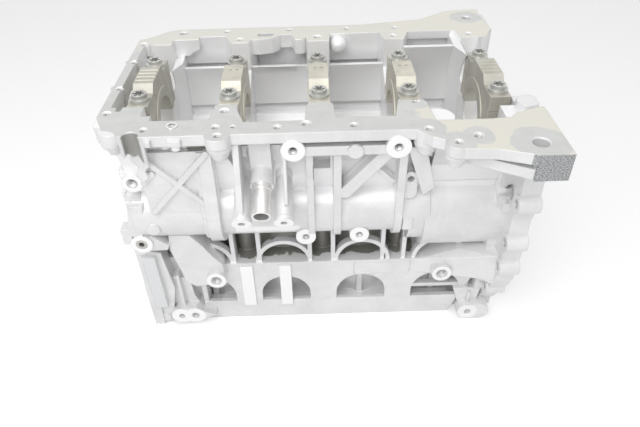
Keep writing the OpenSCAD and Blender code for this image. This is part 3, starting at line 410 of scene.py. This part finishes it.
# colours, each mark's share over the colour below it, and the surface
castLook = {
    "light": (0.86, 0.86, 0.865), "dark": (0.71, 0.71, 0.715),
    "edge": (0.93, 0.93, 0.93), "edgeShare": 0.4, "fleckShare": 0.3,
    # painted light: pale colour laid on the crankcase's insides and on the faces behind the arches
    "inside": (0.95, 0.95, 0.955), "insideShare": 0.9,
    # painted shade: dark colour laid in the hollows, on the wall under the rail and in the open
    # bore
    "hollowShade": (0.23, 0.225, 0.2), "hollowShadeShare": 0.9,
    # painted shade: dark colour for the line in inner corners
    "line": (0.4, 0.39, 0.36), "lineReach": 4, "lineRange": (0.6, 0.25, 0.0, 0.4),
    "rail": (0.60, 0.61, 0.595), "railPale": (0.68, 0.685, 0.67), "film": (0.76, 0.745, 0.665),
    "boss": (0.92, 0.92, 0.92), "bore": (0.8, 0.79, 0.77), "boreShare": 0.7,
    # pads, of which the one at the free end is painted darker, as painted shade, left of a border
    # along x in mm
    "pad": (0.93, 0.93, 0.93), "padShade": (0.70, 0.715, 0.72), "padBorder": (-180, -185),
    "sawn": (0.17, 0.175, 0.18), "sawnBright": (0.74, 0.75, 0.76),
    "grit": (300.0, 5, 0.85), "gritRange": (0.44, 0.6),
    "millPitch": 70.0, "millWarp": 0.8, "ragged": 0.014, "railBand": (-0.5, -0.2),
    "roughness": 0.46, "cloudPolish": 0.08, "cutPolish": 0.14, "roughnessLeast": 0.29,
    "metallic": 0.25, "cutMetallic": 0.3, "radius": 0.0015,
    "coarse": (520.0, 3, 0.7), "coarseShare": 2.4, "bump": 0.6, "bumpDepth": 0.00035,
}


def makeCastAluminium(look, railTop):
    made, tree, shader = newMaterial("castAluminium")
    skin = useGroup(tree, castSkin, Scale=1.0)
    mill = useGroup(tree, millMarks, Pitch=look["millPitch"], Warp=look["millWarp"])
    cuts = useGroup(tree, machinedMask)
    signs = useGroup(tree, handlingMarksAndPaintedLight, Ragged=look["ragged"])
    rounded = useGroup(tree, roundedEdges, Radius=look["radius"])
    x, _, z = splitParts(tree, objectPlace(tree))

    def cover(below, mask, share, above):
        return blendColor(tree, times(tree, mask, share), below, above)

    color = blendColor(tree, skin["Cloud"], look["dark"], look["light"])
    color = cover(color, skin["Fleck"], look["fleckShare"], look["edge"])
    # painted light: the crankcase's insides and the faces behind the arches are painted paler
    color = cover(color, signs["Inside"], look["insideShare"], look["inside"])
    # painted shade: dark in the hollows behind the ribs, on the wall under the rail and in the torn
    # lug's open bore
    color = cover(color, signs["Hollow"], look["hollowShadeShare"], look["hollowShade"])
    # painted shade: a thin dark line in inner corners, from how open the surface is
    color = blendColor(tree, ramp(tree, openness(tree, look["lineReach"]), *look["lineRange"]),
        color, look["line"])
    color = cover(color, rounded["Edge"], look["edgeShare"], look["edge"])
    rail = blendColor(tree, mill["Tone"], look["rail"], look["railPale"])
    rail = blendColor(tree, signs["Film"], rail, look["film"])
    onRail = border(tree, z, *(railTop + step for step in look["railBand"]))
    color = blendColor(tree, cuts["Mask"], color, blendColor(tree, onRail, look["boss"], rail))
    color = cover(color, cuts["Bore"], look["boreShare"], look["bore"])
    padTone = blendColor(tree, border(tree, x, *look["padBorder"]), look["pad"], look["padShade"])
    color = blendColor(tree, cuts["Pad"], color, padTone)
    rough = times(tree, signs["Sawn"], calc(tree, "SUBTRACT", 1.0, cuts["Mask"]))
    grit = ramp(tree, noise(tree, *look["grit"]), *look["gritRange"])
    color = blendColor(tree, rough, color, blendColor(tree, grit, look["sawn"], look["sawnBright"]))
    feed(tree, shader.inputs["Base Color"], color)
    smooth = highest(tree, cuts["Mask"], cuts["Bore"], cuts["Pad"])
    polish = times(tree, plus(tree, skin["Cloud"], signs["Inside"]), look["cloudPolish"])
    polish = plus(tree, polish, times(tree, smooth, look["cutPolish"]))
    # below the least roughness the denoiser draws thin lines where the roughness changes
    dull = highest(tree, calc(tree, "SUBTRACT", look["roughness"], polish), look["roughnessLeast"])
    feed(tree, shader.inputs["Roughness"], dull)
    metal = plus(tree, times(tree, highest(tree, smooth, rough), look["cutMetallic"]),
        look["metallic"])
    feed(tree, shader.inputs["Metallic"], metal)
    broken = highest(tree, signs["Torn"], signs["Sawn"])
    coarse = times(tree, noise(tree, *look["coarse"]), broken, look["coarseShare"])
    relief = times(tree, plus(tree, skin["Height"], coarse), calc(tree, "SUBTRACT", 1.0, smooth))
    feed(tree, shader.inputs["Normal"],
        bumped(tree, relief, look["bump"], look["bumpDepth"], rounded["Normal"]))
    return made


# what all steel and iron pieces share: painted shade in inner corners, and the step
# in roughness in dark and in light clouds
steelSurface = {"cornerShade": (0.05, 0.045, 0.04), "cornerShadeReach": 6, "cornerShadeRange": (0.55, 0.1),
    "cloudRoughness": (0.07, -0.05), "bumpDepth": 0.0002}


def makeSteel(name, look):
    # turned, rolled or zinc-coated steel and iron: fine grain, blotches and bright edges
    made, tree, shader = newMaterial(name)
    skin = useGroup(tree, castSkin, Scale=look["scale"])
    rounded = useGroup(tree, roundedEdges, Radius=look["radius"])
    color = blendColor(tree, skin["Cloud"], look["dark"], look["light"])
    color = blendColor(tree, times(tree, skin["Fleck"], look["fleck"]), color, look["spot"])
    color = blendColor(tree, times(tree, rounded["Edge"], look["wear"]), color, look["edge"])
    # painted shade: darker in inner corners, from how open the surface is
    open0, open1 = steelSurface["cornerShadeRange"]
    corner = ramp(tree, openness(tree, steelSurface["cornerShadeReach"]), open0, open1,
        0.0, look["cornerShade"])
    feed(tree, shader.inputs["Base Color"], blendColor(tree, corner, color, steelSurface["cornerShade"]))
    shader.inputs["Metallic"].default_value = look["metallic"]
    inDark, inLight = (look["roughness"] + step for step in steelSurface["cloudRoughness"])
    feed(tree, shader.inputs["Roughness"], ramp(tree, skin["Cloud"], 0.0, 1.0, inDark, inLight))
    feed(tree, shader.inputs["Normal"],
        bumped(tree, skin["Height"], look["bump"], steelSurface["bumpDepth"], rounded["Normal"]))
    return made


capLook = {
    "light": (0.72, 0.69, 0.595), "dark": (0.50, 0.48, 0.41),
    "spot": (0.8, 0.77, 0.68), "edge": (0.9, 0.87, 0.78),
    "scale": 1.6, "radius": 0.0012, "fleck": 0.4, "wear": 0.5, "cornerShade": 0.4,
    "metallic": 0.45, "roughness": 0.4, "bump": 0.45,
}
endCapLook = {
    **capLook,
    "light": (0.60, 0.585, 0.515), "dark": (0.42, 0.41, 0.36), "edge": (0.82, 0.80, 0.72),
}
boltLook = {
    "light": (0.66, 0.66, 0.63), "dark": (0.44, 0.44, 0.42),
    "spot": (0.66, 0.66, 0.63), "edge": (0.78, 0.78, 0.75),
    "scale": 2.2, "radius": 0.0006, "fleck": 0.3, "wear": 0.7, "cornerShade": 0.5,
    "metallic": 0.6, "roughness": 0.36, "bump": 0.25,
}
linerLook = {
    "light": (0.42, 0.42, 0.43), "dark": (0.30, 0.30, 0.31),
    "spot": (0.55, 0.55, 0.55), "edge": (0.65, 0.65, 0.65),
    "scale": 1.3, "radius": 0.0005, "fleck": 0.2, "wear": 0.5, "cornerShade": 0.3,
    "metallic": 0.85, "roughness": 0.33, "bump": 0.2,
}
tubeLook = {
    "light": (0.92, 0.91, 0.9), "dark": (0.78, 0.77, 0.75),
    "spot": (0.93, 0.93, 0.92), "edge": (0.95, 0.95, 0.95),
    "scale": 2.0, "radius": 0.0004, "fleck": 0.2, "wear": 0.5, "cornerShade": 0.3,
    "metallic": 0.8, "roughness": 0.34, "bump": 0.12,
}
plugLook = {
    "light": (0.66, 0.65, 0.62), "dark": (0.46, 0.45, 0.43),
    "spot": (0.7, 0.69, 0.66), "edge": (0.8, 0.8, 0.78),
    "scale": 2.4, "radius": 0.0005, "fleck": 0.3, "wear": 0.6, "cornerShade": 0.6,
    "metallic": 0.7, "roughness": 0.36, "bump": 0.25,
}
# painted light: the threads are paler than the bolts, standing in for the light that falls into the
# holes
litThreadLook = {
    "light": (0.84, 0.84, 0.83), "dark": (0.66, 0.66, 0.65),
    "spot": (0.9, 0.9, 0.9), "edge": (0.95, 0.95, 0.95),
    "scale": 2.4, "radius": 0.0002, "fleck": 0.3, "wear": 0.6, "cornerShade": 0.3,
    "metallic": 0.4, "roughness": 0.38, "bump": 0.15,
}

castAluminium = makeCastAluminium(castLook, machining["railTop"])
capIron = makeSteel("capIron", capLook)
endCapIron = makeSteel("endCapIron", endCapLook)
boltSteel = makeSteel("boltSteel", boltLook)
linerIron = makeSteel("linerIron", linerLook)
brightSteel = makeSteel("brightSteel", tubeLook)
plugSteel = makeSteel("plugSteel", plugLook)
litThreadMetal = makeSteel("litThreadMetal", litThreadLook)

finishOf = {
    "block": castAluminium, "main_cap_bolts": boltSteel,
    "cap_sleeves": brightSteel, "drain_tube": brightSteel, "pan_sleeve": brightSteel,
    "gallery_plug": plugSteel, "coolant_plug": plugSteel,
    "main_cap_1": endCapIron, "main_cap_5": endCapIron,
    **{f"main_cap_{i}": capIron for i in (2, 3, 4)},
    **{f"liner_{i}": linerIron for i in (1, 2, 3, 4)},
    **{f"core_plug_{i}": plugSteel for i in (1, 2, 3)},
}
for name, piece in nodes.items():
    for slot in piece.material_slots:
        slot.material = finishOf[name]
print("materials assigned")


def addPiece(name, mesh, finish):
    made = bpy.data.objects.new(name, mesh)
    scene.collection.objects.link(made)
    mesh.materials.append(finish)
    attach(made, "root")


# --- threads in the mouths of the bolt holes; lengths in mm ---
threads = {
    "pitch": 1.5, "depth": 0.75, "start": 1.4, "turns": 7, "steps": 20,
    # the ridge's half width as a share of the pitch, and how far its foot reaches into the wall
    "halfWidth": 0.46, "sink": 0.04,
    # x, z, y of the mouth and radius, for the holes of the front
    "front": [
        (-26.4, 271, -123, 4.2), (71.4, 272, -123, 4.2), (-18.2, 149, -105, 3.8),
        (39.6, 150, -105, 3.8), (-123.8, 84, -104, 6.2), (136.5, 86, -105, 6.5),
        (-191.5, 220.5, -97, 5.6), (-176, 16.5, -97, 3.6), (-159, 17, -97, 4.6),
        (178, 12.5, -100, 4),
    ],
    # x, y and radius of the rail's holes
    "rail": [
        (-162.5, -109.4, 3.4), (-97.1, -107.3, 3.4), (-94, -122.2, 3.4), (-92, -77.3, 4),
        (-40.1, -110.6, 3.4), (-13.6, -105.3, 4.2), (30.2, -110.1, 3.4), (92.9, -68.6, 3.4),
        (97.6, -120.1, 3.4), (119.5, -143.6, 3.4), (139.2, -134, 4.2), (-162.1, 118.6, 5),
        (-109.4, 120.2, 3.4), (-91.6, 95, 3.4), (-33, 120.6, 3.4), (0.7, 97, 4.5),
        (37.1, 120.4, 3.4), (96.2, 119.9, 3.4), (91.6, 95, 3.4), (190.6, 146, 6),
        (182.2, 95, 3.4), (-204.6, -76.8, 3.4), (-204.6, -25.1, 3.4), (-204.6, 38.2, 3.4),
        (-204.6, 88, 3.4), (-137.3, -104.8, 3.8),
    ],
    # y and z of the gearbox bolts
    "gearbox": [(-129, 206), (-125, 151), (-122, 113), (-100, 60),
        (127, 206), (122, 150), (115, 100), (100, 60)],
    "gearboxRadius": 5.1,
}


def addThread(shape, mouth, inward, radius, look):
    # one helical ridge that winds from the mouth into the hole
    turn = Vector(inward).to_track_quat("Z", "Y").to_matrix()
    foot = radius + look["sink"]
    profile = ((foot, -look["halfWidth"]), (radius - look["depth"], 0.0), (foot, look["halfWidth"]))
    rows = []
    for step in range(look["turns"] * look["steps"] + 1):
        angle = step * 2 * math.pi / look["steps"]
        deep = look["start"] + look["pitch"] * step / look["steps"]
        row = []
        for reach, ahead in profile:
            spot = Vector((reach * math.cos(angle), reach * math.sin(angle),
                deep + ahead * look["pitch"]))
            row.append(shape.verts.new((Vector(mouth) + turn @ spot) * mm))
        rows.append(row)
    for before, after in zip(rows, rows[1:]):
        for k in range(3):
            shape.faces.new((before[k], before[(k + 1) % 3], after[(k + 1) % 3], after[k]))
    shape.faces.new(rows[0])
    shape.faces.new(tuple(reversed(rows[-1])))


def makeThreads(look, cuts):
    top, end, endRadius = cuts["railTop"], cuts["gearboxFace"], look["gearboxRadius"]
    sets = {
        "front_threads": [((x, y, z), (0, 1, 0), radius) for x, z, y, radius in look["front"]],
        "rail_threads": [((x, y, top), (0, 0, -1), radius) for x, y, radius in look["rail"]],
        "gearbox_threads": [((end, y, z), (-1, 0, 0), endRadius) for y, z in look["gearbox"]],
    }
    for name, holes in sets.items():
        shape = bmesh.new()
        for mouth, inward, radius in holes:
            addThread(shape, mouth, inward, radius, look)
        bmesh.ops.recalc_face_normals(shape, faces=shape.faces[:])
        mesh = bpy.data.meshes.new(name)
        shape.to_mesh(mesh)
        shape.free()
        addPiece(name, mesh, litThreadMetal)


# --- rolled lip round the open end of the drain tube; lengths in mm ---
tubeLip = {"root": (-58.5, -108.6, 233.6), "length": 45, "radius": 8.6, "bead": 0.75, "seat": 0.6,
    "around": 48, "across": 8}


def makeTubeLip(look, fall):
    slant = math.radians(fall)
    along = Vector((0, -math.cos(slant), -math.sin(slant)))
    turn = along.to_track_quat("Z", "Y").to_matrix()
    middle = Vector(look["root"]) + along * (look["length"] - look["bead"] * look["seat"])
    verts, faces = [], []
    for i in range(look["around"]):
        angle = i * 2 * math.pi / look["around"]
        for j in range(look["across"]):
            roll = j * 2 * math.pi / look["across"]
            reach = look["radius"] + look["bead"] * math.cos(roll)
            spot = Vector((reach * math.cos(angle), reach * math.sin(angle),
                look["bead"] * math.sin(roll)))
            verts.append((middle + turn @ spot) * mm)
            a, b = i * look["across"], (i + 1) % look["around"] * look["across"]
            k = (j + 1) % look["across"]
            faces.append((a + j, a + k, b + k, b + j))
    mesh = bpy.data.meshes.new("tube_lip")
    mesh.from_pydata(verts, [], faces)
    for polygon in mesh.polygons:
        polygon.use_smooth = True
    addPiece("tube_lip", mesh, brightSteel)


makeThreads(threads, machining)
makeTubeLip(tubeLip, machining["fall"])
print("threads and tube lip made")


# --- floor, light and camera; lengths in metres ---
studio = {
    "floorSize": 6.0, "floorDrop": 0.0002, "floorColor": (0.86, 0.86, 0.86), "floorGlow": 0.27,
    "floorRoughness": 0.8, "floorSpecular": 0.1, "white": (1, 1, 1, 1), "ambient": 0.55,
    # place, target, size along both sides and power of each lamp
    "lamps": {
        "overhead": ((-0.05, -0.25, 1.6), (0, 0, 0.2), (1.4, 1.2), 4.5),
        "key": ((-0.35, -0.95, 1.15), (0, 0, 0.15), (0.9, 0.7), 8.0),
    },
}
# the photograph's camera: focal length and width in pixels, angles in radians
view = {"focal": 562.764, "width": 640, "sensor": 36, "clip": 0.01,
    "pitch": 0.689164, "yaw": 0.00981476, "roll": 0.0224617,
    "place": (-0.006966, -0.558868, 0.555270)}


def makeFloor(look):
    mesh = bpy.data.meshes.new("floor")
    half = look["floorSize"] / 2
    mesh.from_pydata([(-half, -half, 0), (half, -half, 0), (half, half, 0), (-half, half, 0)],
        [], [(0, 1, 2, 3)])
    floor = bpy.data.objects.new("floor", mesh)
    scene.collection.objects.link(floor)
    floor.location.z = -look["floorDrop"]
    made, tree, shader = newMaterial("paperFloor")
    rays = addNode(tree, "ShaderNodeLightPath")
    seen = highest(tree, rays.outputs["Is Camera Ray"], rays.outputs["Is Glossy Ray"])
    shader.inputs["Base Color"].default_value = (*look["floorColor"], 1)
    shader.inputs["Roughness"].default_value = look["floorRoughness"]
    shader.inputs["Specular IOR Level"].default_value = look["floorSpecular"]
    shader.inputs["Emission Color"].default_value = look["white"]
    feed(tree, shader.inputs["Emission Strength"], times(tree, seen, look["floorGlow"]))
    mesh.materials.append(made)


def makeWorld(look):
    # white behind the part, and a softer light from all sides
    world = bpy.data.worlds.new("studio")
    scene.world = world
    world.use_nodes = True
    tree = world.node_tree
    tree.nodes.clear()
    out = addNode(tree, "ShaderNodeOutputWorld")
    light = addNode(tree, "ShaderNodeBackground")
    rays = addNode(tree, "ShaderNodeLightPath")
    seen = highest(tree,
        *(rays.outputs[f"Is {kind} Ray"] for kind in ("Camera", "Glossy", "Transmission")))
    feed(tree, light.inputs["Strength"], ramp(tree, seen, 0.0, 1.0, look["ambient"], 1.0))
    light.inputs["Color"].default_value = look["white"]
    tree.links.new(light.outputs[0], out.inputs["Surface"])


def addArea(name, place, target, size, power):
    light = bpy.data.lights.new(name, "AREA")
    light.shape = "RECTANGLE"
    light.size, light.size_y = size
    light.energy = power
    lamp = bpy.data.objects.new(name, light)
    scene.collection.objects.link(lamp)
    lamp.location = place
    lamp.rotation_euler = (Vector(target) - Vector(place)).to_track_quat("-Z", "Y").to_euler()


def makeCamera(look):
    down, turn, roll = look["pitch"], look["yaw"], look["roll"]
    ahead = Vector((math.sin(turn) * math.cos(down), math.cos(turn) * math.cos(down),
        -math.sin(down)))
    side = Vector((math.cos(turn), -math.sin(turn), 0))
    up = side.cross(ahead)
    right = side * math.cos(roll) - up * math.sin(roll)
    top = side * math.sin(roll) + up * math.cos(roll)
    camera = bpy.data.cameras.new("camera")
    eye = bpy.data.objects.new("camera", camera)
    scene.collection.objects.link(eye)
    turned = Matrix((right, top, -ahead)).transposed().to_4x4()
    eye.matrix_world = Matrix.Translation(look["place"]) @ turned
    camera.sensor_width = look["sensor"]
    camera.lens = look["focal"] / look["width"] * look["sensor"]
    camera.clip_start = look["clip"]
    scene.camera = eye


makeFloor(studio)
makeWorld(studio)
for name, lamp in studio["lamps"].items():
    addArea(name, *lamp)
makeCamera(view)
scene.view_settings.view_transform = "Standard"
print("studio ready")
